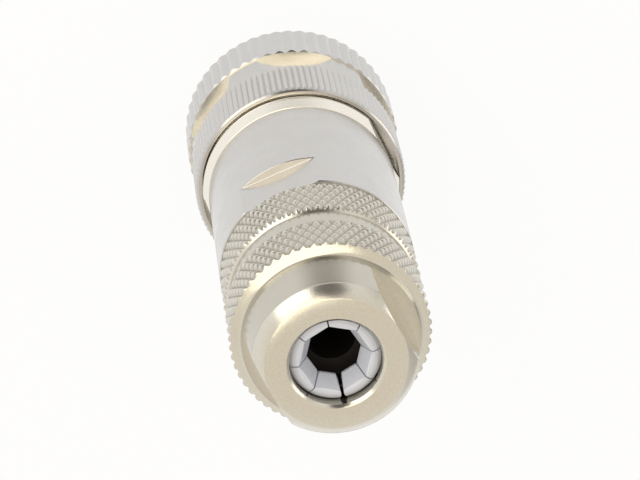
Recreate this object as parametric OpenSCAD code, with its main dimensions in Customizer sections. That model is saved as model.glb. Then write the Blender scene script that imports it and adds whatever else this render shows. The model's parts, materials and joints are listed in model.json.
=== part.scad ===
// Shielded four-pole M12 cable socket with screw terminals.
// It stands on the front face of its coupling ring: that face is z = 0, and the cable leaves at the top.

/* [Mating face] */
// Nominal diameter of the coupling thread
thread_d = 12; // [11:0.5:16]
// Pitch of the coupling thread
thread_pitch = 1; // [0.5:0.25:1.5]
// Diameter of the contact insert
insert_d = 8.3; // [8:0.1:9]
// Depth of the insert's face behind the front of the coupling ring
insert_recess = 0.9; // [0.3:0.1:2]
// Diameter of the circle that the contacts stand on
pin_circle_d = 5.3; // [4.8:0.1:5.6]
// Diameter of the pins that the contacts take
pin_d = 1; // [0.8:0.05:1.1]
// Width of the coding groove in the insert
key_w = 1.2; // [0.8:0.1:1.6]

/* [Coupling ring] */
// Diameter over the fluted front band
ring_d = 20; // [19.6:0.1:26]
// Length of the fluted front band
ring_band_len = 5.2; // [3:0.1:8]
// Length of the hexagonal waist
ring_waist_len = 2.9; // [1.5:0.1:5]
// Length of the knurled rear band
ring_grip_len = 5.9; // [4.5:0.1:9]
// Diameter over the knurled rear band
ring_grip_d = 19.6; // [19.3:0.1:26]
// Width across the flats of the waist
ring_hex_af = 18.15; // [17:0.05:19]
// Diameter of the mouth that surrounds the collar
ring_mouth_d = 18.5; // [18:0.1:18.9]
// Number of flutes round the front band
ring_flutes = 53; // [24:1:90]
// Depth of the flutes
flute_depth = 0.2; // [0.1:0.05:0.4]
// Number of teeth round the rear band
ring_teeth = 106; // [48:1:150]
// Depth of the teeth
tooth_depth = 0.2; // [0.1:0.05:0.3]
// Angle at which the ring comes to rest
ring_clock = 2; // [-30:1:30]

/* [Contact carrier] */
// Diameter of the collar in the ring's mouth
collar_d = 18; // [17.5:0.1:18.1]
// Diameter of the collar at the sleeve, where its cone ends
collar_back_d = 17.35; // [17:0.05:17.9]
// Length of the collar
collar_len = 2.35; // [1.5:0.05:4]
// Width across the collar's flats
collar_af = 17; // [16:0.1:17.3]
// Angle of the collar's flats
collar_clock = -2; // [-30:1:30]
// How far the collar reaches into the ring's mouth
collar_lap = 0.65; // [0.2:0.05:1]
// Nominal diameter of the threads on the carrier and on the sleeve's tail
body_thread_d = 14.9; // [14.6:0.1:15.2]
// Length of the carrier's thread
body_thread_len = 5; // [3:0.1:7]

/* [Terminals] */
// Diameter of the terminal block
block_d = 12.4; // [12:0.1:12.8]
// Length of the terminal block
block_len = 11.6; // [11:0.1:14]
// Width of a square terminal
terminal_w = 2.8; // [2.4:0.1:2.9]
// Diameter of the wire hole in a terminal
wire_hole_d = 1.6; // [1:0.1:1.7]
// Diameter of the terminal screws
clamp_screw_d = 1.8; // [1.2:0.1:2]
// Length of the terminal screws
clamp_screw_len = 1.8; // [1.2:0.1:2]
// Travel of a terminal screw, from open to clamped
clamp_travel = 1.2; // [0.6:0.1:1.3]

/* [Housing sleeve] */
// Diameter of the smooth sleeve
sleeve_d = 17.35; // [16.9:0.05:18.5]
// Length of the smooth sleeve
sleeve_len = 16.55; // [15:0.05:25]
// Width across the sleeve's wrench flats
sleeve_af = 15.8; // [15.4:0.1:17]
// Distance from the front of the sleeve to its wrench flats
sleeve_flat_start = 11.5; // [6:0.1:13]
// Length of the threaded tail
tail_len = 7.2; // [6:0.1:9]
// Diameter of the wiring chamber
chamber_d = 14.2; // [13.2:0.1:14.4]
// Diameter of the bore that holds the seal and the cage
gland_bore_d = 12.7; // [12.3:0.1:12.8]
// Angle at which the sleeve comes to rest
sleeve_clock = -4; // [-45:1:45]

/* [Pressing screw] */
// Diameter over the two knurled bands
screw_d = 17.4; // [17:0.1:20]
// Length of each knurled band
screw_band_len = 5.5; // [3:0.1:7]
// Length of the groove between the bands
screw_groove_len = 2.1; // [1:0.1:4]
// Diameter of the groove
screw_groove_d = 16.5; // [16.3:0.1:16.9]
// Diameter of the boss at the bands
boss_root_d = 15.4; // [14.6:0.1:16]
// Diameter of the boss at its rear chamfer
boss_tip_d = 14.15; // [13:0.05:14.5]
// Length of the boss, with its chamfer
boss_len = 5.1; // [4:0.05:8]
// Width across the boss's wrench flats
boss_af = 12.1; // [11.6:0.1:13]
// Chamfer on the rear edge of the boss
boss_chamfer = 1; // [0.4:0.1:1.2]
// Diameter of the cable entry
entry_d = 7.9; // [7:0.1:8.4]
// Angle at which the screw comes to rest
screw_clock = 0; // [-90:1:90]

/* [Cage and seal] */
// Number of fingers on the cage
fingers = 8; // [6:1:10]
// Width across the hole that the closed fingers leave
finger_hole_af = 4.35; // [3:0.05:5]
// Width of the slots between the fingers
slot_w = 0.12; // [0.1:0.02:0.4]
// Width of the one slot that stays open, at the crest of the fingers
open_slot_w = 0.26; // [0.2:0.02:0.6]
// Bore of the cable seal
seal_bore_d = 4.2; // [3:0.1:4.2]
// Angle of the cage's first slot
cage_clock = -17; // [-22:1:22]

/* [Hidden] */
$fn = 64;

POLES = 4;
eps = 0.01;

// Clearances
turn_gap = 0.07;     // radial, between a shaft and the bore that it turns in
seat_gap = 0.05;     // axial, between faces that are screwed together
slip_gap = 0.15;     // between pieces that slide past each other
cone_gap = 0.12;     // between the cage's fingers and the cone that closes them

// Coupling ring, from the front
ring_r = ring_d / 2;
grip_r = ring_grip_d / 2;
waist_z = ring_band_len;
grip_z = waist_z + ring_waist_len;
ring_len = grip_z + ring_grip_len;
mouth_depth = 1.8;
crest_cut = 0.04;    // the teeth are cut this much too tall, and turned down to size
mouth_r = ring_mouth_d / 2;
minor_r = thread_d / 2 - 0.55 * thread_pitch;
major_r = thread_d / 2 + 0.05;
front_chamfer = 0.15;

// Contact carrier
insert_r = insert_d / 2;
hub_r = minor_r - 0.1;
hub_bore_r = insert_r + seat_gap;
collar_z = ring_len - collar_lap;
collar_back_z = collar_z + collar_len;
collar_cone_z = collar_z + 0.55;
flange_z = collar_z - 0.15;
neck_r = body_thread_d / 2 + 0.15;
neck_z = collar_z - 1.75;
web_z = neck_z - 0.3;
clip_t = 0.55;
clip_z = neck_z - 2.65;
clip_in_r = hub_r - 0.4;
clip_out_r = hub_r + 0.6;
relief_r = max(clip_out_r + 0.2, major_r + 0.1);
relief_z = clip_z - 1.35;
clip_face_z = clip_z + clip_t + 0.1;
hub_z = clip_z - 0.55;
body_r = body_thread_d / 2;
block_r = block_d / 2;
carrier_bore_r = block_r + 0.1;
o_ring_t = 0.9;
o_groove_r = body_r - 0.55;
o_groove_len = 1.2;
carrier_back_z = collar_back_z + o_groove_len + body_thread_len;
insert_flange_t = 1.2;

// Terminals
contact_r = pin_circle_d / 2;
contact_body_r = pin_d / 2 + 0.28;
contact_z = insert_recess + 1.4;
socket_depth = 6.7;
block_z = flange_z + insert_flange_t;
block_back_z = block_z + block_len;
terminal_len = 6;
terminal_z = block_back_z - 0.4 - terminal_len;
terminal_in = contact_r - 0.7;
terminal_out = terminal_in + terminal_w;
wire_r = terminal_in + terminal_w * 0.42;
clamp_z = terminal_z + terminal_len - 2;
clamp_r = clamp_screw_d / 2;
clamp_hole_r = clamp_r + seat_gap;
screw_out = block_r - 0.1;
screw_in = screw_out - clamp_screw_len;
plate_t = 0.35;
plate_in = screw_in - plate_t;
clamp_hole_in = plate_in - clamp_travel - 0.3;

// Housing sleeve
sleeve_r = sleeve_d / 2;
sleeve_z = collar_back_z + seat_gap;
shoulder_z = sleeve_z + sleeve_len;
tail_z = shoulder_z + tail_len;
bolt_bore_r = body_r + turn_gap;
chamber_r = chamber_d / 2;
gland_r = gland_bore_d / 2;
web_t = 1.2;
gland_z = shoulder_z + 0.3;
web_front_z = gland_z - web_t;
web_hole_r = 4.2;
o_bore_r = o_groove_r + o_ring_t + 0.1;
keyway_w = 1.5;
keyway_r = gland_r + 0.5;
keyway_z = gland_z + 1.8;

// Pressing screw
screw_z = shoulder_z + 0.1;
screw_r = screw_d / 2;
groove_r = screw_groove_d / 2;
band_chamfer = 0.4;
groove_z = screw_z + screw_band_len;
band_2_z = groove_z + screw_groove_len;
boss_z = band_2_z + screw_band_len - 0.1;
rear_z = boss_z + boss_len;
boss_root_r = boss_root_d / 2;
boss_tip_r = boss_tip_d / 2;
boss_flat_z = boss_z + 0.95;
entry_r = entry_d / 2;
cone_back_z = rear_z - 1.1;
cone_slope = 0.35;
thread_end_z = tail_z + 1.9;
cone_front_r = entry_r + cone_slope * (cone_back_z - thread_end_z);

// Cage, shield ring and seal
shield_t = 0.65;
seal_z = gland_z + shield_t;
seal_flange_t = 1.1;
seal_r = 4.5;
cage_z = seal_z + seal_flange_t + 0.2;
cage_r = gland_r - slip_gap;
cage_bore_r = seal_r + slip_gap;
cage_root_z = cage_z + 4;
cage_tip_z = rear_z - 0.9;
crest_r = entry_r - 0.8;
finger_wall = 0.58;   // at the wide end of the hollow in the fingers
finger_edge_z = cage_tip_z - 0.7;
hole_r = finger_hole_af / 2 / cos(180 / fingers);
hole_z = cage_tip_z - 1.6;
land_z = hole_z - 0.25;
hollow_z = cone_back_z - (cage_bore_r + finger_wall + cone_gap - entry_r) / cone_slope;
cage_cone_z = cone_back_z - (cage_r + cone_gap - entry_r) / cone_slope;
seal_back_z = hollow_z - 0.1;

// Colours
nickel = [0.74, 0.72, 0.69];
warm_nickel = [0.78, 0.73, 0.64];
gold = [0.83, 0.66, 0.30];
steel = [0.62, 0.62, 0.62];
cage_white = [0.76, 0.76, 0.78];
black_plastic = [0.09, 0.09, 0.09];
grey_plastic = [0.20, 0.20, 0.21];
rubber = [0.06, 0.05, 0.05];

// A ring of equal teeth: crests of radius r, and rounded roots
function toothed(r, depth, n) = [
    for (i = [0 : n - 1], k = [0 : 3])
        let (a = 360 * (i + k / 4) / n, rr = r - depth * (1 - cos(90 * k)) / 2)
        [rr * cos(a), rr * sin(a)]
];

// Turns a profile of [radius, height] points
module turned(points) {
    rotate_extrude($fn = 96) polygon(points);
}

// Two wrench flats, cut across a turned piece between two heights
module flat_cut(af, z0, z1, n = 2) {
    for (i = [0 : n - 1])
        rotate([0, 0, 360 / n * i])
            translate([af / 2, -20, z0]) cube([10, 40, z1 - z0]);
}

module o_ring(centre_r, centre_z, t) {
    translate([0, 0, centre_z])
        rotate_extrude($fn = 64) translate([centre_r, 0]) circle(d = t, $fn = 24);
}

// ---- Coupling ring ----

module ring_body() {
    intersection() {
        linear_extrude(waist_z) polygon(toothed(ring_r + crest_cut, flute_depth + crest_cut, ring_flutes));
        turned([
            [0, 0], [ring_r - front_chamfer, 0], [ring_r, front_chamfer], [ring_r, waist_z - 0.15],
            [ring_r - 0.15, waist_z], [0, waist_z]
        ]);
    }
    difference() {
        translate([0, 0, waist_z - eps]) turned([
            [0, 0], [ring_r - flute_depth - 0.05, 0], [grip_r - 0.32, ring_waist_len + 2 * eps],
            [0, ring_waist_len + 2 * eps]
        ]);
        flat_cut(ring_hex_af, waist_z, grip_z, 6);
    }
    intersection() {
        translate([0, 0, grip_z])
            linear_extrude(ring_grip_len)
                polygon(toothed(grip_r + crest_cut, tooth_depth + crest_cut, ring_teeth));
        turned([
            [0, grip_z], [grip_r - 0.27, grip_z], [grip_r, grip_z + 0.27],
            [grip_r, ring_len - 0.4], [grip_r - 0.14, ring_len - 0.15],
            [grip_r - 0.3, ring_len], [0, ring_len]
        ]);
    }
}

module coupling_ring() {
    color(nickel) rotate([0, 0, ring_clock]) difference() {
        ring_body();
        turned([
            [0, -eps], [major_r + 0.45 + eps, -eps], [major_r, 0.45],
            [major_r, relief_z], [relief_r, relief_z], [relief_r, clip_face_z],
            [hub_r + turn_gap, clip_face_z], [hub_r + turn_gap, web_z], [neck_r + 0.4, web_z],
            [neck_r + 0.4, ring_len - mouth_depth], [mouth_r, ring_len - mouth_depth],
            [mouth_r, ring_len + eps], [0, ring_len + eps]
        ]);
    }
}

module ring_clip() {
    color(steel) difference() {
        translate([0, 0, clip_z]) difference() {
            cylinder(r = clip_out_r, h = clip_t);
            translate([0, 0, -eps]) cylinder(r = clip_in_r, h = clip_t + 2 * eps);
        }
        translate([0, -1.25, clip_z - eps]) cube([10, 2.5, clip_t + 2 * eps]);
    }
}

// ---- Contact carrier ----

module carrier_shell() {
    color(nickel) difference() {
        turned([
            [hub_bore_r, hub_z], [hub_r - 0.15, hub_z], [hub_r, hub_z + 0.15],
            [hub_r, clip_z - 0.02], [clip_in_r - seat_gap, clip_z - 0.02],
            [clip_in_r - seat_gap, clip_z + clip_t + 0.02], [hub_r, clip_z + clip_t + 0.02],
            [hub_r, neck_z], [neck_r, neck_z], [neck_r, collar_z],
            [collar_d / 2 - 0.1, collar_z], [collar_d / 2, collar_z + 0.1],
            [collar_d / 2, collar_cone_z], [collar_back_d / 2, collar_back_z - 0.1],
            [collar_back_d / 2 - 0.1, collar_back_z],
            [o_groove_r, collar_back_z], [o_groove_r, collar_back_z + o_groove_len],
            [body_r - 0.3, collar_back_z + o_groove_len],
            [body_r, collar_back_z + o_groove_len + 0.3], [body_r, carrier_back_z - 0.3],
            [body_r - 0.3, carrier_back_z], [carrier_bore_r, carrier_back_z],
            [carrier_bore_r, flange_z], [hub_bore_r, flange_z]
        ]);
        rotate([0, 0, collar_clock]) flat_cut(collar_af, collar_z - eps, collar_back_z + eps);
    }
}

module at_pole(i) {
    rotate([0, 0, 45 + 360 / POLES * (i - 1)]) children();
}

module contact_insert() {
    color(black_plastic) difference() {
        turned([
            [0, insert_recess], [insert_r - 0.3, insert_recess], [insert_r, insert_recess + 0.3],
            [insert_r, flange_z], [block_r, flange_z], [block_r, block_z], [0, block_z]
        ]);
        for (i = [1 : POLES]) at_pole(i) translate([contact_r, 0, 0]) {
            cylinder(r = pin_d / 2 + 0.15, h = contact_z + eps);
            translate([0, 0, contact_z]) cylinder(r = contact_body_r + seat_gap, h = 20);
        }
        translate([insert_r - 0.75, -key_w / 2, 0]) cube([2, key_w, hub_z]);
    }
}

// Socket at the front, and a square terminal with a wire hole and a screw hole at the back
module socket_contact(i) {
    color(gold) at_pole(i) difference() {
        union() {
            translate([contact_r, 0, contact_z])
                cylinder(r = contact_body_r, h = terminal_z - contact_z + eps);
            translate([terminal_in, -terminal_w / 2, terminal_z])
                cube([terminal_w, terminal_w, terminal_len]);
        }
        translate([contact_r, 0, contact_z - eps]) cylinder(d = pin_d, h = socket_depth);
        translate([contact_r - 0.12, -2, contact_z - eps]) cube([0.24, 4, socket_depth * 0.6]);
        translate([wire_r, 0, clamp_z - 2]) cylinder(d = wire_hole_d, h = 8);
        translate([clamp_hole_in, 0, clamp_z]) rotate([0, 90, 0]) cylinder(r = clamp_hole_r, h = 8);
    }
}

module terminal_block() {
    pocket_w = terminal_w + 2 * seat_gap;
    color(grey_plastic) difference() {
        turned([
            [0, block_z], [block_r, block_z], [block_r, block_back_z - 0.4],
            [block_r - 0.4, block_back_z], [0, block_back_z]
        ]);
        for (i = [1 : POLES]) at_pole(i) {
            translate([contact_r, 0, block_z - eps])
                cylinder(r = contact_body_r + seat_gap, h = terminal_z - block_z + 0.1);
            translate([terminal_in - seat_gap, -pocket_w / 2, terminal_z - seat_gap])
                cube([pocket_w, pocket_w, 20]);
            translate([terminal_out - 0.2, 0, clamp_z])
                rotate([0, 90, 0]) cylinder(r = clamp_hole_r + 0.15, h = 8);
        }
    }
}

module pressure_plate(i) {
    color(steel) at_pole(i) translate([plate_in, 0, clamp_z])
        rotate([0, 90, 0]) cylinder(r = clamp_r - 0.05, h = plate_t);
}

module terminal_screw(i) {
    color(steel) at_pole(i) difference() {
        translate([screw_in, 0, clamp_z]) rotate([0, 90, 0]) cylinder(r = clamp_r, h = clamp_screw_len);
        translate([screw_out - 0.5, -2, clamp_z - 0.18]) cube([2, 4, 0.36]);
    }
}

module face_seal() {
    color(rubber) o_ring(insert_r + 0.58, hub_z - 0.52, 1);
}

module body_o_ring() {
    color(rubber) o_ring(o_groove_r + o_ring_t / 2 + 0.02, collar_back_z + o_groove_len / 2, o_ring_t);
}

// ---- Housing sleeve ----

module housing_sleeve() {
    color(nickel) rotate([0, 0, sleeve_clock]) difference() {
        turned([
            [o_bore_r, sleeve_z], [sleeve_r - 0.2, sleeve_z], [sleeve_r, sleeve_z + 0.2],
            [sleeve_r, shoulder_z - 0.2], [sleeve_r - 0.2, shoulder_z],
            [o_groove_r, shoulder_z], [o_groove_r, shoulder_z + o_groove_len],
            [body_r - 0.3, shoulder_z + o_groove_len], [body_r, shoulder_z + o_groove_len + 0.3],
            [body_r, tail_z - 0.3], [body_r - 0.3, tail_z], [gland_r, tail_z],
            [gland_r, gland_z], [web_hole_r, gland_z], [web_hole_r, web_front_z],
            [chamber_r, web_front_z], [chamber_r, carrier_back_z + 0.4],
            [bolt_bore_r, carrier_back_z + 0.4], [bolt_bore_r, sleeve_z + o_groove_len + 0.1],
            [o_bore_r, sleeve_z + o_groove_len]
        ]);
        rotate([0, 0, 90]) flat_cut(sleeve_af, sleeve_z + sleeve_flat_start, shoulder_z + eps);
        for (a = [0 : 90 : 270]) rotate([0, 0, a])
            translate([0, -keyway_w / 2, keyway_z]) cube([keyway_r, keyway_w, 20]);
    }
}

module screw_o_ring() {
    color(rubber) o_ring(o_groove_r + o_ring_t / 2 + 0.02, shoulder_z + o_groove_len / 2, o_ring_t);
}

module shield_ring() {
    color(warm_nickel) turned([
        [3, gland_z], [cage_r - 0.1, gland_z], [cage_r - 0.1, seal_z], [3.4, seal_z], [3, seal_z - 0.4]
    ]);
}

module cable_seal() {
    color(rubber) turned([
        [seal_bore_d / 2 + 0.8, seal_z], [cage_r - 0.1, seal_z],
        [cage_r - 0.1, seal_z + seal_flange_t], [seal_r, seal_z + seal_flange_t],
        [seal_r, seal_back_z - 0.8], [seal_r - 0.8, seal_back_z],
        [seal_bore_d / 2, seal_back_z], [seal_bore_d / 2, seal_z + 0.8]
    ]);
}

// ---- Pressing screw and cage ----

// The fingers' rounded crest, from their outer cone to the facets inside
finger_crest = [
    [crest_r + 0.7, cage_tip_z - 0.4], [crest_r + 0.46, cage_tip_z - 0.15],
    [crest_r + 0.2, cage_tip_z - 0.03], [crest_r - 0.05, cage_tip_z], [crest_r - 0.25, cage_tip_z - 0.1]
];

module cage_body() {
    turned(concat(
        [[cage_bore_r, cage_z], [cage_r, cage_z], [cage_r, cage_cone_z]],
        [[entry_r - cone_gap + cone_slope * (cone_back_z - finger_edge_z), finger_edge_z]],
        finger_crest,
        [[1, cage_tip_z - 0.1], [1, land_z], [hole_r, land_z], [cage_bore_r, hollow_z]]
    ));
    rotate([0, 0, sleeve_clock - cage_clock]) for (a = [0 : 90 : 270]) rotate([0, 0, a])
        translate([cage_r - 0.5, -keyway_w / 2 + slip_gap / 2, cage_z + 0.2])
            cube([keyway_r - slip_gap - cage_r + 0.5, keyway_w - slip_gap, 3.4]);
}

// Plan of a slot: a small point at the hole, then parallel sides
module plain_slot() {
    polygon([[hole_r - 0.15, -0.16], [hole_r + 0.3, 0], [hole_r - 0.15, 0.16]]);
    translate([0, -slot_w / 2]) square([cage_r + 1, slot_w]);
}

// Plan of the open slot: it narrows from the hole to the crest, and widens again to the cone
module open_slot() {
    half = open_slot_w / 2;
    polygon([
        [0, -half - 0.12], [hole_r, -half - 0.12], [crest_r, -half], [crest_r + 0.3, -half],
        [crest_r + 0.9, -half - 0.2], [cage_r + 1, -half - 0.2], [cage_r + 1, half + 0.2],
        [crest_r + 0.9, half + 0.2], [crest_r + 0.3, half], [crest_r, half],
        [hole_r, half + 0.12], [0, half + 0.12]
    ]);
}

module clamping_cage() {
    color(cage_white) rotate([0, 0, cage_clock]) difference() {
        cage_body();
        translate([0, 0, land_z - eps]) cylinder(r = hole_r, h = 10, $fn = fingers);
        translate([0, 0, hole_z])
            cylinder(r1 = hole_r, r2 = crest_r, h = cage_tip_z - hole_z + eps, $fn = fingers);
        for (i = [0 : fingers - 1]) rotate([0, 0, 360 / fingers * i])
            translate([0, 0, cage_root_z]) linear_extrude(20)
                if (i == fingers - 2) open_slot(); else plain_slot();
    }
}

module screw_body() {
    turned([
        [o_bore_r + 0.05, screw_z], [screw_r - band_chamfer, screw_z],
        [screw_r, screw_z + band_chamfer], [screw_r, groove_z - band_chamfer],
        [groove_r, groove_z], [groove_r, band_2_z], [screw_r, band_2_z + band_chamfer],
        [screw_r, boss_z - 0.4], [boss_root_r, boss_z], [boss_tip_r, rear_z - boss_chamfer],
        [boss_tip_r - boss_chamfer, rear_z], [entry_r + 0.25, rear_z], [entry_r, rear_z - 0.25],
        [entry_r, cone_back_z], [cone_front_r, thread_end_z], [bolt_bore_r, thread_end_z],
        [bolt_bore_r, screw_z + 1.4], [o_bore_r + 0.05, screw_z + 1.3]
    ]);
}

module pressing_screw() {
    color(warm_nickel) rotate([0, 0, screw_clock]) difference() {
        screw_body();
        flat_cut(boss_af, boss_flat_z, rear_z + eps);
    }
}

coupling_ring();
carrier_shell();
contact_insert();
terminal_block();
for (i = [1 : POLES]) {
    socket_contact(i);
    pressure_plate(i);
    terminal_screw(i);
}
face_seal();
ring_clip();
body_o_ring();
housing_sleeve();
shield_ring();
cable_seal();
screw_o_ring();
clamping_cage();
pressing_screw();
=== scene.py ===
import json
import math

import bmesh
import bpy
from mathutils import Matrix, Vector


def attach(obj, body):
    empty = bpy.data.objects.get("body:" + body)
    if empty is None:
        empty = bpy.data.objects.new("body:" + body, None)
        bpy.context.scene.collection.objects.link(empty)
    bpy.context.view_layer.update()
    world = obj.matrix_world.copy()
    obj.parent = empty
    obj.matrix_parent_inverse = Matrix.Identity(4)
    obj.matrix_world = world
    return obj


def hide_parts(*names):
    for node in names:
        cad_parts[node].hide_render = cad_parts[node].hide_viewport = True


MM = 0.001
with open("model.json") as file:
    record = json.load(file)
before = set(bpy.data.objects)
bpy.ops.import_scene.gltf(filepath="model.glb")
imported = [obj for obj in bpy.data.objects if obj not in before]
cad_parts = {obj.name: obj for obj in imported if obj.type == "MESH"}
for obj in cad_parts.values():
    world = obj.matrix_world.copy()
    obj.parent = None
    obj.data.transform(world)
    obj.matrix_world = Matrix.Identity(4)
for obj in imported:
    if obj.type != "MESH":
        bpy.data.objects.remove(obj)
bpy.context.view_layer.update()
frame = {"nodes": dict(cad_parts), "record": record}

# ---------------------------------------------------------------- sizes

STEPS = 232                       # columns round a threaded piece
HAIR = 0.001                      # gap between the two rows at the end of a wrench flat
SHARP_ANGLE = 30                  # degrees, past which an edge is shaded sharp
PITCH = 1.0                       # of all the large threads
THREAD_R = 7.45                   # crest radius of the carrier's and the tail's threads
THREAD_BORE_R = 7.52              # of the plain bores that go over those threads
THREAD_DEPTH = 0.55
THREAD_CHAMFER = 0.3
RUN_OUT = 0.4                     # length over which a thread fades in and out
GROOVE_R = 6.9                    # floor of the two sealing-ring grooves
GROOVE_LEN = 1.2

TEETH = 58                        # diamonds round the pressing screw
DIAMOND_LEN = 1.64                # length of a diamond along the axis
DIAMOND_STEPS = 8                 # columns and rows of a diamond

RING_THREAD = {
    "bore_r": 6.07, "minor_r": 5.46, "low": 0.7, "high": 7.5, "half_foot": 0.44, "half_crest": 0.125,
    "steps": 96,
}
CARRIER = {
    "hub_z": 8.4, "collar_z": 13.35, "cone_z": 14.5, "back_z": 15.7, "end_z": 21.9,
    "front_r": 9.0, "collar_r": 9.14, "back_r": 8.675, "flats": 17.0, "clock": -2.0,
    "hub_r": 5.35, "clip_low_z": 8.93, "clip_high_z": 9.52, "clip_r": 4.9,
    "recess_z": 11.6, "recess_r": 7.6, "insert_r": 4.2, "block_r": 6.3, "block_z": 13.2,
}
SLEEVE = {
    "front_z": 15.75, "flat_z": 27.25, "shoulder_z": 32.3, "end_z": 39.5, "r": 8.675,
    "flats": 15.8, "clock": -4.0, "front_chamfer": 0.06, "shoulder_chamfer": 0.09,
    "mouth_r": 7.9, "mouth_z": 17.05, "bore_end_z": 22.3, "chamber_r": 7.1, "web": 1.2, "web_r": 4.2,
    "gland_r": 6.35, "gland_z": 32.6, "keyway_z": 34.4, "keyway_w": 1.5, "keyway_r": 6.85,
}
SCREW = {
    "front_z": 32.4, "groove_z": 37.9, "band_2_z": 40.0, "boss_z": 45.4, "rear_z": 50.5,
    "crest_r": 8.7, "depth": 0.27, "groove_r": 8.25, "boss_r": 7.7, "shelf_r": 7.59, "tip_r": 7.075,
    "nose": 1.0, "flat_z": 46.35, "flats": 12.1, "entry_r": 3.95, "entry_chamfer": 0.27, "land": 1.1,
    "cone_r": 6.7675, "cone_z": 41.4, "lip_r": 7.95, "lip_len": 1.3,
}


# ---------------------------------------------------------------- making turned pieces

def ladder(start, end, step):
    """Points from start up to end, evenly spaced and about a step apart, end left out."""
    count = max(1, round(math.dist(start, end) / step))
    return [
        (start[0] + (end[0] - start[0]) * i / count, start[1] + (end[1] - start[1]) * i / count)
        for i in range(count)
    ]


def turn_outline(outline, steps=STEPS):
    """A closed loop of (radius, height) points in mm, spun all the way round the axis."""
    bm = bmesh.new()
    verts = [bm.verts.new((r * MM, 0, z * MM)) for r, z in outline]
    edges = [bm.edges.new(pair) for pair in zip(verts, verts[1:] + verts[:1])]
    bmesh.ops.spin(
        bm, geom=verts + edges, cent=(0, 0, 0), axis=(0, 0, 1),
        angle=math.tau, steps=steps, use_merge=True,
    )
    bmesh.ops.recalc_face_normals(bm, faces=bm.faces)
    return bm


def mill_flats(bm, across, low, high, clock=0.0):
    """Presses everything outside a pair of wrench flats onto them, between two heights."""
    low, high, reach = low * MM, high * MM, across * MM / 2
    for bearing in (clock, clock + 180):
        normal = Matrix.Rotation(math.radians(bearing), 3, "Z") @ Vector((1, 0, 0))
        near = {v for v in bm.verts if low <= v.co.z <= high and v.co.dot(normal) > reach * 0.8}
        faces = [f for f in bm.faces if near.issuperset(f.verts)]
        edges = list(dict.fromkeys(e for f in faces for e in f.edges))
        verts = list(dict.fromkeys(v for f in faces for v in f.verts))
        bmesh.ops.bisect_plane(
            bm, geom=verts + edges + faces, dist=1e-8, plane_co=normal * reach, plane_no=normal,
        )
        for v in bm.verts:
            over = v.co.dot(normal) - reach
            if low <= v.co.z <= high and over > 0:
                v.co -= normal * over


def break_edges(bm, radius, z, width):
    """Takes a little off a shelf's outer edge, and leaves the tool's small radius in its inner corner."""
    square = 1  # radian, which only the shelf's own edges turn through

    def outer(v):
        return abs(v.co.z / MM - z) < 0.8 * HAIR and abs(v.co.xy.length / MM - radius) < 2 * HAIR

    def inner(v):
        return abs(v.co.z / MM - z - HAIR) < 0.4 * HAIR and v.co.xy.length / MM < radius - 0.05

    for place, offset in ((outer, width), (inner, width * 0.7)):
        edges = [
            e for e in bm.edges
            if all(place(v) for v in e.verts) and len(e.link_faces) == 2 and e.calc_face_angle() > square
        ]
        bmesh.ops.bevel(
            bm, geom=edges, offset=offset * MM, segments=1, profile=0.5, affect="EDGES", material=-1,
        )


def threaded_tail(back_z, end_z, bore_r):
    """Outline of a sealing-ring groove and the thread behind it, and the height where the thread starts."""
    start_z = back_z + GROOVE_LEN + THREAD_CHAMFER
    crest_end = (THREAD_R, end_z - THREAD_CHAMFER)
    outline = [
        (GROOVE_R, back_z), (GROOVE_R, back_z + GROOVE_LEN),
        (THREAD_R - THREAD_CHAMFER, back_z + GROOVE_LEN),
    ]
    outline += ladder((THREAD_R, start_z), crest_end, PITCH / 8)
    outline += [crest_end, (THREAD_R - THREAD_CHAMFER, end_z), (bore_r, end_z)]
    return outline, start_z


def cut_thread(bm, low, high):
    """Cuts a right-hand thread of triangular form into a cylinder of the crest radius."""
    for v in bm.verts:
        z, radius = v.co.z / MM, v.co.xy.length / MM
        if low <= z <= high and abs(radius - THREAD_R) < 0.01:
            run = (z / PITCH - math.atan2(v.co.y, v.co.x) / math.tau) % 1
            fade = min(1, (z - low) / RUN_OUT, (high - z) / RUN_OUT)
            depth = THREAD_DEPTH * abs(2 * run - 1) * fade
            v.co.xy *= (THREAD_R - depth) / radius


def finish_piece(bm, name, material, body, replaced=None):
    """Makes an object of the mesh, shades it, and lets it ride with its CAD body."""
    mesh = bpy.data.meshes.new(name)
    bm.to_mesh(mesh)
    bm.free()
    mesh.shade_smooth()
    mesh.set_sharp_from_angle(angle=math.radians(SHARP_ANGLE))
    piece = bpy.data.objects.new(name, mesh)
    bpy.context.scene.collection.objects.link(piece)
    mesh.materials.append(material)
    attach(piece, body)
    if replaced:
        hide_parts(replaced)
    return piece


# ---------------------------------------------------------------- diamond knurl

def diamond_height(turn, row):
    """Height of the knurl's diamonds over their grooves, from 0 to 1."""
    across, along = turn * TEETH, row / DIAMOND_STEPS
    return min(abs(math.sin(math.pi * (across + along))), abs(math.sin(math.pi * (across - along))))


def band_rows(low, high):
    """Heights of a band's rows, half as far apart near both ends, and the step between the others."""
    count = round((high - low) / (DIAMOND_LEN / DIAMOND_STEPS))
    step = (high - low) / count
    rows = [low + step * i / 2 for i in range(6)]
    rows += [low + step * i for i in range(3, count - 2)]
    rows += [high - step * i / 2 for i in range(5, -1, -1)]
    return rows, step


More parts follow.
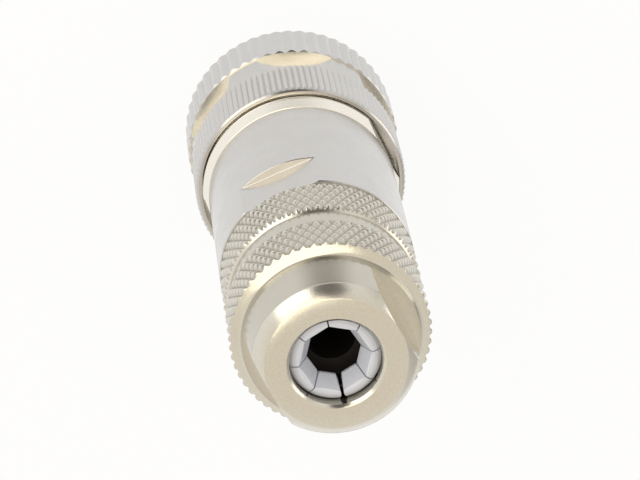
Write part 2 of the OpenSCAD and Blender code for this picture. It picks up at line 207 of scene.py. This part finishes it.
def knurl_band(bm, rows, step, low_r, high_r, high_slope):
    """Gives a plain band its diamonds, cut off by a chamfer at each end, and notes how high each point is,
    which also sets how much painted shade it gets.
    """
    low, high = rows[0], rows[-1]
    crest, depth = SCREW["crest_r"], SCREW["depth"]
    lift = bm.verts.layers.float["lift"]

    def shape(place):
        z = place.z / MM
        height = diamond_height(math.atan2(place.y, place.x) / math.tau, (z - low) / step)
        lifted = crest - depth * (1 - height)
        chamfer = min(low_r + (z - low), high_r + (high - z) * high_slope)
        return (chamfer, 1.0) if chamfer < lifted else (lifted, height)

    verts = set()
    for v in bm.verts:
        radius = v.co.xy.length / MM
        if low - HAIR < v.co.z / MM < high + HAIR and radius > SCREW["groove_r"] - 0.05:
            wanted, v[lift] = shape(v.co)
            v.co.xy *= wanted / radius
            verts.add(v)
    for face in [f for f in bm.faces if len(f.verts) == 4 and verts.issuperset(f.verts)]:
        a, b, c, d = face.verts
        truth = shape(face.calc_center_median())[0] * MM
        one = abs((a.co.xy.length + c.co.xy.length) / 2 - truth)
        other = abs((b.co.xy.length + d.co.xy.length) / 2 - truth)
        if one < other:
            bmesh.utils.face_split(face, a, c)
        else:
            bmesh.utils.face_split(face, b, d)


def mark_shaded_sides(bm):
    """Gives every point its lift: half on the groove between the bands and the boss's turned side, which
    paints shade there, else full.
    """
    s = SCREW
    lift = bm.verts.layers.float.new("lift")
    for v in bm.verts:
        z = v.co.z / MM
        outside = v.co.xy.length / MM > 7
        in_groove = s["groove_z"] < z < s["band_2_z"]
        on_boss = s["boss_z"] < z < s["rear_z"] - s["nose"] + 0.01
        milled = z > s["flat_z"] and abs(v.co.x) / MM > s["flats"] / 2
        # painted shade: half way to the groove colour on the groove and the boss's turned side
        v[lift] = 0.5 if outside and (in_groove or on_boss) and not milled else 1


def round_diamonds(mesh):
    """Shades each diamond as one worn, rounded point, and keeps the grooves between them sharp."""
    lift = mesh.attributes["lift"].data
    floor = (SCREW["crest_r"] - SCREW["depth"] - 0.01) * MM
    for edge in mesh.edges:
        heights = [lift[i].value for i in edge.vertices]
        on_knurl = all(mesh.vertices[i].co.xy.length > floor for i in edge.vertices)
        if on_knurl and max(heights) < 0.999 and sum(heights) > 0.02:
            edge.use_edge_sharp = False


# ---------------------------------------------------------------- pieces

def make_pressing_screw(material):
    """The rear screw: two knurled bands with a groove between them, and a boss with the cable entry."""
    s = SCREW
    crest, groove, boss, tip, entry = s["crest_r"], s["groove_r"], s["boss_r"], s["tip_r"], s["entry_r"]
    rear_z, nose, chamfer = s["rear_z"], s["nose"], s["entry_chamfer"]
    corner, gap, edge = 0.02, 0.02, 0.03  # the small breaks between two faces
    first, first_step = band_rows(s["front_z"], s["groove_z"])
    second, second_step = band_rows(s["band_2_z"], s["boss_z"])
    outline = [(s["lip_r"], s["front_z"])] + [(crest, z) for z in first]
    outline += [(groove, s["groove_z"] + gap), (groove, s["band_2_z"] - gap)]
    outline += [(crest, z) for z in second]
    outline += ladder((boss, s["boss_z"] + edge), (s["shelf_r"], s["flat_z"]), 0.3)
    outline += [(s["shelf_r"], s["flat_z"]), (s["shelf_r"] - HAIR, s["flat_z"] + HAIR)]
    outline += ladder((s["shelf_r"] - 0.04, s["flat_z"] + 0.2), (tip, rear_z - nose - edge), 0.35)
    outline += [
        (tip, rear_z - nose - edge), (tip - edge, rear_z - nose + edge),
        (tip - nose + edge, rear_z - edge), (tip - nose - edge, rear_z),
        (entry + chamfer, rear_z), (entry + chamfer - edge, rear_z - corner),
        (entry + corner, rear_z - chamfer + edge), (entry, rear_z - chamfer),
        (entry, rear_z - s["land"]), (s["cone_r"], s["cone_z"]), (THREAD_BORE_R, s["cone_z"]),
        (THREAD_BORE_R, s["front_z"] + s["lip_len"] + 0.1), (s["lip_r"], s["front_z"] + s["lip_len"]),
    ]
    bm = turn_outline(outline, TEETH * DIAMOND_STEPS)
    mark_shaded_sides(bm)
    knurl_band(bm, first, first_step, groove + gap, groove + gap, 1)
    knurl_band(bm, second, second_step, groove + gap, boss + edge, 2.4)
    mill_flats(bm, s["flats"], s["flat_z"] + HAIR / 2, rear_z + 0.1)
    piece = finish_piece(bm, "pressing_screw_knurled", material, "screw", "pressing_screw")
    round_diamonds(piece.data)


def make_sleeve(material):
    """The smooth sleeve: wrench flats, the bore of its inner thread, and the threaded tail with the gland."""
    s = SLEEVE
    tail, thread_z = threaded_tail(s["shoulder_z"], s["end_z"], s["gland_r"])
    outline = [
        (s["mouth_r"], s["front_z"]), (s["r"] - s["front_chamfer"], s["front_z"]),
        (s["r"], s["front_z"] + s["front_chamfer"]),
        (s["r"], s["flat_z"] - 0.03), (s["r"], s["flat_z"]), (s["r"], s["flat_z"] + HAIR),
        (s["r"], s["shoulder_z"] - s["shoulder_chamfer"]),
        (s["r"] - s["shoulder_chamfer"], s["shoulder_z"]),
    ]
    outline += tail
    outline += [
        (s["gland_r"], s["keyway_z"] + HAIR), (s["gland_r"], s["keyway_z"]),
        (s["gland_r"], s["gland_z"]), (s["web_r"], s["gland_z"]),
        (s["web_r"], s["gland_z"] - s["web"]), (s["chamber_r"], s["gland_z"] - s["web"]),
        (s["chamber_r"], s["bore_end_z"]), (THREAD_BORE_R, s["bore_end_z"]),
        (THREAD_BORE_R, s["mouth_z"]), (s["mouth_r"], s["mouth_z"] - 0.1),
    ]
    bm = turn_outline(outline)
    cut_thread(bm, thread_z, s["end_z"] - THREAD_CHAMFER)
    mill_flats(bm, s["flats"], s["flat_z"] + HAIR / 2, s["shoulder_z"] + 0.01, s["clock"] + 90)
    break_edges(bm, s["r"], s["flat_z"], 0.06)
    press_keyways(bm)
    finish_piece(bm, "housing_sleeve_threaded", material, "sleeve", "housing_sleeve")


def press_keyways(bm):
    """Four slots along the gland's bore, which keep the cage from turning."""
    s = SLEEVE
    quarter = math.pi / 2
    for v in bm.verts:
        radius = v.co.xy.length / MM
        if v.co.z / MM > s["keyway_z"] + HAIR / 2 and abs(radius - s["gland_r"]) < 0.01:
            angle = math.atan2(v.co.y, v.co.x) - math.radians(s["clock"])
            aside = (angle + quarter / 2) % quarter - quarter / 2
            if abs(math.sin(aside)) * radius < s["keyway_w"] / 2:
                v.co.xy *= s["keyway_r"] / radius


def make_carrier(material):
    """The carrier: hub with the clip's groove, collar with its cone and flats, and the rear thread."""
    s = CARRIER
    hub, recess = s["hub_r"], s["recess_r"]
    edge, cone_edge, back_edge = 0.1, 0.03, 0.05
    tail, thread_z = threaded_tail(s["back_z"], s["end_z"], s["block_r"])
    outline = [
        (s["insert_r"], s["hub_z"]), (hub - 0.15, s["hub_z"]), (hub, s["hub_z"] + 0.15),
        (hub, s["clip_low_z"]), (s["clip_r"], s["clip_low_z"]),
        (s["clip_r"], s["clip_high_z"]), (hub, s["clip_high_z"]),
        (hub, s["recess_z"]), (recess, s["recess_z"]), (recess, s["collar_z"]),
        (s["front_r"] - edge, s["collar_z"]), (s["front_r"], s["collar_z"] + edge),
        (s["collar_r"], s["cone_z"] - edge), (s["collar_r"], s["cone_z"]),
    ]
    cone_start = (s["collar_r"] - cone_edge, s["cone_z"] + cone_edge)
    cone_end = (s["back_r"], s["back_z"] - cone_edge)
    outline += ladder(cone_start, cone_end, 0.2)
    outline += [cone_end, (s["back_r"] - back_edge, s["back_z"])]
    outline += tail
    outline += [(s["block_r"], s["block_z"]), (s["insert_r"], s["block_z"])]
    bm = turn_outline(outline)
    cut_thread(bm, thread_z, s["end_z"] - THREAD_CHAMFER)
    mill_flats(bm, s["flats"], s["collar_z"] - 0.01, s["back_z"] + 0.01, s["clock"])
    finish_piece(bm, "carrier_shell_threaded", material, "root", "carrier_shell")


def make_ring_thread(material):
    """The right-hand ridge of the coupling thread, wound up the ring's bore and run out at both ends."""
    s = RING_THREAD
    bm = bmesh.new()
    base, tip = s["bore_r"], s["minor_r"]
    foot, crest = s["half_foot"], s["half_crest"]
    corners = [(base, -foot), (tip, -crest), (tip, crest), (base, foot)]
    verts = [bm.verts.new((r * MM, 0, (s["low"] + z) * MM)) for r, z in corners]
    edges = [bm.edges.new(pair) for pair in zip(verts, verts[1:] + verts[:1])]
    turns = (s["high"] - s["low"]) / PITCH
    bmesh.ops.spin(
        bm, geom=verts + edges, cent=(0, 0, 0), axis=(0, 0, 1), dvec=(0, 0, PITCH * MM / s["steps"]),
        angle=math.tau * turns, steps=round(turns * s["steps"]),
    )
    bmesh.ops.holes_fill(bm, edges=[e for e in bm.edges if e.is_boundary], sides=4)
    for v in bm.verts:
        radius = v.co.xy.length / MM
        if radius < (base + tip) / 2:
            turn = math.atan2(v.co.y, v.co.x) / math.tau
            wound = round(v.co.z / MM - s["low"] - turn) + turn
            fade = min(1, wound / RUN_OUT, (turns - wound) / RUN_OUT)
            v.co.xy *= (base - (base - tip) * max(fade, 0)) / radius
    bmesh.ops.recalc_face_normals(bm, faces=bm.faces)
    finish_piece(bm, "coupling_thread", material, "ring")


# ---------------------------------------------------------------- shader nodes

def feed(tree, source, socket):
    """Links another node's output to a socket, or sets the socket to a plain value or colour."""
    if isinstance(source, bpy.types.NodeSocket):
        tree.links.new(source, socket)
    else:
        socket.default_value = (*source, 1) if socket.type == "RGBA" else source


def add_math(tree, operation, first, second):
    node = tree.nodes.new("ShaderNodeMath")
    node.operation = operation
    feed(tree, first, node.inputs[0])
    feed(tree, second, node.inputs[1])
    return node.outputs["Value"]


def add_vector_math(tree, operation, first, second=None):
    """Works on one or two vectors; lengths, distances and dot products come out as a value."""
    node = tree.nodes.new("ShaderNodeVectorMath")
    node.operation = operation
    feed(tree, first, node.inputs[0])
    if second is not None:
        feed(tree, second, node.inputs[1])
    return node.outputs["Value" if operation in ("LENGTH", "DISTANCE", "DOT_PRODUCT") else "Vector"]


def add_coordinates(tree, kind):
    return tree.nodes.new("ShaderNodeTexCoord").outputs[kind]


def add_split(tree, vector):
    node = tree.nodes.new("ShaderNodeSeparateXYZ")
    tree.links.new(vector, node.inputs["Vector"])
    return node.outputs


def add_noise(tree, vector, scale, detail):
    node = tree.nodes.new("ShaderNodeTexNoise")
    node.inputs["Scale"].default_value = scale
    node.inputs["Detail"].default_value = detail
    tree.links.new(vector, node.inputs["Vector"])
    return node.outputs["Fac"]


def add_range(tree, value, start, end, low=0.0, high=1.0, blend="SMOOTHSTEP"):
    """Takes a value's way from start to end to the way from low to high."""
    node = tree.nodes.new("ShaderNodeMapRange")
    node.interpolation_type = blend
    node.inputs["From Min"].default_value = start
    node.inputs["From Max"].default_value = end
    node.inputs["To Min"].default_value = low
    node.inputs["To Max"].default_value = high
    tree.links.new(value, node.inputs["Value"])
    return node.outputs["Result"]


def add_mix(tree, share, first, second):
    """Mixes two colours, by the share of the second."""
    node = tree.nodes.new("ShaderNodeMixRGB")
    feed(tree, share, node.inputs["Fac"])
    feed(tree, first, node.inputs["Color1"])
    feed(tree, second, node.inputs["Color2"])
    return node.outputs["Color"]


def add_bump(tree, height, strength, distance, under=None):
    node = tree.nodes.new("ShaderNodeBump")
    node.inputs["Strength"].default_value = strength
    node.inputs["Distance"].default_value = distance
    tree.links.new(height, node.inputs["Height"])
    if under:
        tree.links.new(under, node.inputs["Normal"])
    return node.outputs["Normal"]


# ---------------------------------------------------------------- finishes

NICKEL = (0.60, 0.585, 0.565)
# painted highlight: the brighter colour of the ring's up-facing shelves
SHELF_HIGHLIGHT_NICKEL = (0.84, 0.81, 0.73)
# partly real turning rings, partly a painted highlight: a brighter copy of the nickel for the carrier's
# collar
COLLAR_HIGHLIGHT_NICKEL = (0.95, 0.90, 0.81)
WARM_NICKEL = (0.64, 0.61, 0.545)
KNURL_NICKEL = (0.72, 0.69, 0.61)
# painted shade: the darker colour down in the knurl's grooves
GROOVE_SHADE_NICKEL = (0.44, 0.41, 0.345)
SHELF_TOP = 0.008                 # metres, above all the coupling ring's shelves


def new_finish(name, color, roughness, metallic=0.0):
    """A material with plain values, its shader's inputs, and its node tree."""
    material = bpy.data.materials.new(name)
    material.use_nodes = True
    shader = material.node_tree.nodes["Principled BSDF"].inputs
    shader["Base Color"].default_value = (*color, 1)
    shader["Roughness"].default_value = roughness
    shader["Metallic"].default_value = metallic
    return material, shader, material.node_tree


def add_wear(tree, vector, low, high):
    """A roughness that wanders between two values in soft patches."""
    return add_range(tree, add_noise(tree, vector, 420, 2), 0.35, 0.65, low, high, "LINEAR")


def plated(name, color, smooth, dull, speckle, turning, mottle=0.05):
    """Bright nickel over turned brass: fine rings from the tool, and a speckled, slightly mottled grain."""
    material, shader, tree = new_finish(name, color, smooth, 1.0)
    place = add_coordinates(tree, "Object")
    rings = tree.nodes.new("ShaderNodeCombineXYZ")
    radius = add_vector_math(tree, "LENGTH", add_vector_math(tree, "MULTIPLY", place, (1, 1, 0)))
    tree.links.new(radius, rings.inputs["X"])
    tree.links.new(add_split(tree, place)["Z"], rings.inputs["Y"])
    lines = add_noise(tree, rings.outputs["Vector"], 14000, 2)
    grain = add_noise(tree, place, 9000, 3)
    normal = add_bump(tree, lines, turning, 0.000004)
    feed(tree, add_bump(tree, grain, speckle, 0.000006, normal), shader["Normal"])
    feed(tree, add_wear(tree, place, smooth, dull), shader["Roughness"])
    darker, lighter = 1 - 2 * mottle, min(1 + 2 * mottle, 0.99 / max(color))
    tone = add_mix(
        tree, add_noise(tree, place, 7000, 2), [c * darker for c in color], [c * lighter for c in color])
    feed(tree, tone, shader["Base Color"])
    return material


def retouch(material, share, first=None, second=None):
    """Mixes the plating's own colour with another: the one that is left out is the plating's own."""
    tree = material.node_tree
    color = tree.nodes["Principled BSDF"].inputs["Base Color"]
    own = color.links[0].from_socket
    feed(tree, add_mix(tree, share, first or own, second or own), color)
    return material


def paint_groove_shade(material, groove_color):
    """Paints shade down in the knurl's grooves: the plating's colour goes towards a darker one where the lift
    is low.
    """
    lift = material.node_tree.nodes.new("ShaderNodeAttribute")
    lift.attribute_name = "lift"
    return retouch(material, lift.outputs["Fac"], first=groove_color)


def paint_shelf_highlight(material, color):
    """Paints a highlight on the coupling ring's milled shelves, which face the cable end: their colour is
    brighter than its sides, standing in for the light they catch.
    """
    tree = material.node_tree
    low = add_math(tree, "LESS_THAN", add_split(tree, add_coordinates(tree, "Object"))["Z"], SHELF_TOP)
    up = add_math(tree, "GREATER_THAN", add_split(tree, add_coordinates(tree, "Normal"))["Z"], 0.9)
    return retouch(material, add_math(tree, "MULTIPLY", low, up), second=color)


def moulded(name, color, roughness, grain_scale, strength):
    """Plastic or rubber with a fine skin, and a gloss that wanders a little."""
    material, shader, tree = new_finish(name, color, roughness)
    place = add_coordinates(tree, "Object")
    grain = add_noise(tree, place, grain_scale, 3)
    feed(tree, add_bump(tree, grain, strength, 0.000008), shader["Normal"])
    feed(tree, add_wear(tree, place, roughness - 0.05, roughness + 0.06), shader["Roughness"])
    return material


FINISHES = {
    "nickel": plated("nickel_plate", NICKEL, 0.18, 0.27, 0.60, 0.12),
    # the ring's plating, with a painted highlight on its up-facing shelves
    "ring_nickel": paint_shelf_highlight(
        plated("ring_nickel_plate", NICKEL, 0.18, 0.27, 0.60, 0.12), SHELF_HIGHLIGHT_NICKEL),
    # the carrier's plating: real turning rings, and a painted highlight in its brighter colour
    "collar_nickel": plated("collar_highlight_nickel_plate", COLLAR_HIGHLIGHT_NICKEL, 0.20, 0.30, 1.0, 0.30, 0.08),
    "warm_nickel": plated("warm_nickel_plate", WARM_NICKEL, 0.15, 0.23, 0.80, 0.15),
    # the screw's plating, with painted shade in its grooves, on the groove between the bands and on the
    # boss's side
    "knurled_nickel": paint_groove_shade(
        plated("knurled_nickel_plate", KNURL_NICKEL, 0.15, 0.23, 0.80, 0.15), GROOVE_SHADE_NICKEL),
    "gold_plate": plated("gold_plate", (0.80, 0.58, 0.22), 0.20, 0.30, 0.20, 0.05),
    "steel": plated("bright_steel", (0.56, 0.56, 0.56), 0.25, 0.34, 0.20, 0.10),
    "insert_plastic": moulded("black_insert", (0.015, 0.015, 0.016), 0.42, 6000, 0.25),
    "block_plastic": moulded("dark_block", (0.04, 0.04, 0.042), 0.48, 6000, 0.25),
    "cage_plastic": moulded("pale_cage", (0.62, 0.65, 0.745), 0.36, 5000, 0.18),
    "seal_rubber": moulded("seal_rubber", (0.012, 0.009, 0.007), 0.55, 7000, 0.30),
}


def dress_cad_nodes():
    """Gives each CAD node the finish of its slot, and the coupling ring its own, with a painted highlight on
    its shelves.
    """
    slots = {entry["node"]: entry["material_slot"] for entry in frame["record"]["subparts"]}
    slots["coupling_ring"] = "ring_nickel"
    for name, node in frame["nodes"].items():
        for place in node.material_slots:
            place.material = FINISHES[slots[name]]


# ---------------------------------------------------------------- stage, in metres and degrees

FLOOR_R = 0.13
FLOOR_GLOW = 0.90                 # the floor's own white, as a share of what the eye sees of it
FLOOR_PAINTED_SHADOW = (0.40, 0.39, 0.36)  # the floor's shaded place beside the camera, in reflections
PATCH_AWAY = 0.070
PATCH_R = (0.040, 0.010)          # where the patch starts and where it is full
WORLD_SIDE = (0.95, 0.94, 0.92)
WORLD_TOP = (0.84, 0.78, 0.68)
WORLD_GAP = (0.16, 0.15, 0.14)    # of a dim gap between the lights, beside the camera
GAP_BEARING, GAP_ELEVATION = 65, 15
GAP_WIDTH = (24, 9)               # where the gap starts and where it is full
WORLD_SHADE = (0.55, 0.53, 0.50)  # of the darker side, below and beside the part
SHADE_BEARING, SHADE_ELEVATION = -25, -20
PART_MIDDLE = Vector((0, 0, 0.030))
PANELS = [
    # name, bearing, elevation, distance, size, radiance, colour
    ("left_panel", 106, 22, 0.5, (0.36, 0.26), 1.15, (1.0, 0.97, 0.88)),
    ("right_panel", -15, 12, 0.5, (0.25, 0.25), 1.1, (1.0, 0.97, 0.90)),
    ("warm_overhead", 103, 64, 0.6, (0.56, 0.56), 1.15, (1.0, 0.92, 0.72)),
]
CAMERA = {
    "aim": (0.00069, -0.00021, 0.0263), "bearing": 72.72, "elevation": 64.45, "distance": 0.3142,
    "roll": 168.5, "sensor_mm": 36, "lens_mm": 196.875,
}


def toward(bearing, elevation):
    """Unit vector of a direction, bearing from +X towards +Y."""
    b, e = math.radians(bearing), math.radians(elevation)
    return Vector((math.cos(b) * math.cos(e), math.sin(b) * math.cos(e), math.sin(e)))


def lay_floor():
    """A round white floor that glows a little to the eye, and still takes the part's shadow; in reflections
    it also shows a painted shadow patch beside the camera.
    """
    bm = bmesh.new()
    bmesh.ops.create_circle(bm, cap_ends=True, segments=128, radius=FLOOR_R)
    mesh = bpy.data.meshes.new("floor")
    bm.to_mesh(mesh)
    bm.free()
    floor = bpy.data.objects.new("floor", mesh)
    bpy.context.scene.collection.objects.link(floor)

    material, _, tree = new_finish("white_floor", (0.86, 0.86, 0.87), 0.9)
    nodes, links = tree.nodes, tree.links
    ray = nodes.new("ShaderNodeLightPath").outputs
    straight_or_mirrored = add_math(tree, "MAXIMUM", ray["Is Camera Ray"], ray["Is Glossy Ray"])
    seen = add_math(tree, "MAXIMUM", straight_or_mirrored, ray["Is Transmission Ray"])
    # a painted shadow patch on the floor beside the camera, seen only in reflections
    patch_place = toward(GAP_BEARING, 0) * PATCH_AWAY
    away = add_vector_math(tree, "DISTANCE", add_coordinates(tree, "Object"), patch_place)
    indirect = add_math(tree, "LESS_THAN", ray["Is Camera Ray"], 0.5)
    patch = add_math(tree, "MULTIPLY", add_range(tree, away, *PATCH_R), indirect)
    glow = nodes.new("ShaderNodeEmission")
    feed(tree, add_mix(tree, patch, (1, 1, 1), FLOOR_PAINTED_SHADOW), glow.inputs["Color"])
    mix = nodes.new("ShaderNodeMixShader")
    links.new(add_math(tree, "MULTIPLY", seen, FLOOR_GLOW), mix.inputs["Fac"])
    links.new(nodes["Principled BSDF"].outputs["BSDF"], mix.inputs[1])
    links.new(glow.outputs["Emission"], mix.inputs[2])
    links.new(mix.outputs["Shader"], nodes["Material Output"].inputs["Surface"])
    mesh.materials.append(material)


def light_panel(name, bearing, elevation, distance, size, radiance, color):
    """A soft panel that faces the part, placed by its direction from the part."""
    away = toward(bearing, elevation)
    data = bpy.data.lights.new(name, "AREA")
    data.shape = "RECTANGLE"
    data.size, data.size_y = size
    data.energy = radiance * math.pi * size[0] * size[1]
    data.color = color
    lamp = bpy.data.objects.new(name, data)
    lamp.location = away * distance + PART_MIDDLE
    lamp.rotation_euler = away.to_track_quat("Z", "Y").to_euler()
    bpy.context.scene.collection.objects.link(lamp)


def set_world():
    """A plain studio: warmer overhead, with a darker side and one dim gap, and white behind the part."""
    world = bpy.data.worlds.new("studio")
    world.use_nodes = True
    tree = world.node_tree
    direction = add_coordinates(tree, "Generated")
    ramp = tree.nodes.new("ShaderNodeValToRGB")
    for element, position, color in zip(ramp.color_ramp.elements, (0.1, 0.8), (WORLD_SIDE, WORLD_TOP)):
        element.position = position
        element.color = (*color, 1)
    tree.links.new(add_split(tree, direction)["Z"], ramp.inputs["Fac"])

    shade_way = toward(SHADE_BEARING, SHADE_ELEVATION)
    shaded = add_range(tree, add_vector_math(tree, "DOT_PRODUCT", direction, shade_way), 0.35, 0.95)
    shade = add_mix(tree, shaded, ramp.outputs["Color"], WORLD_SHADE)

    squeezed = add_vector_math(tree, "MULTIPLY", direction, (1, 1, 0.7))
    unit = add_vector_math(tree, "NORMALIZE", squeezed)
    facing = add_vector_math(tree, "DOT_PRODUCT", unit, toward(GAP_BEARING, GAP_ELEVATION))
    gap = add_range(tree, facing, *(math.cos(math.radians(angle)) for angle in GAP_WIDTH))
    dim = add_mix(tree, gap, shade, WORLD_GAP)

    ray = tree.nodes.new("ShaderNodeLightPath")
    backdrop = add_mix(tree, ray.outputs["Is Camera Ray"], dim, (1, 1, 1))
    tree.links.new(backdrop, tree.nodes["Background"].inputs["Color"])
    bpy.context.scene.world = world


def place_camera():
    """Looks down on the cable end from behind the part, turned so that the cable end is at the bottom."""
    data = bpy.data.cameras.new("camera")
    data.sensor_width = CAMERA["sensor_mm"]
    data.lens = CAMERA["lens_mm"]
    data.clip_start = 0.01
    camera = bpy.data.objects.new("camera", data)
    away = toward(CAMERA["bearing"], CAMERA["elevation"])
    roll = Matrix.Rotation(math.radians(CAMERA["roll"]), 3, "Z")
    turn = away.to_track_quat("Z", "Y").to_matrix() @ roll
    place = Vector(CAMERA["aim"]) + away * CAMERA["distance"]
    camera.matrix_world = Matrix.Translation(place) @ turn.to_4x4()
    bpy.context.scene.collection.objects.link(camera)
    bpy.context.scene.camera = camera


dress_cad_nodes()
make_pressing_screw(FINISHES["knurled_nickel"])
make_sleeve(FINISHES["nickel"])
make_carrier(FINISHES["collar_nickel"])
make_ring_thread(FINISHES["nickel"])
lay_floor()
set_world()
for panel in PANELS:
    light_panel(*panel)
place_camera()
bpy.context.scene.view_settings.view_transform = "Standard"
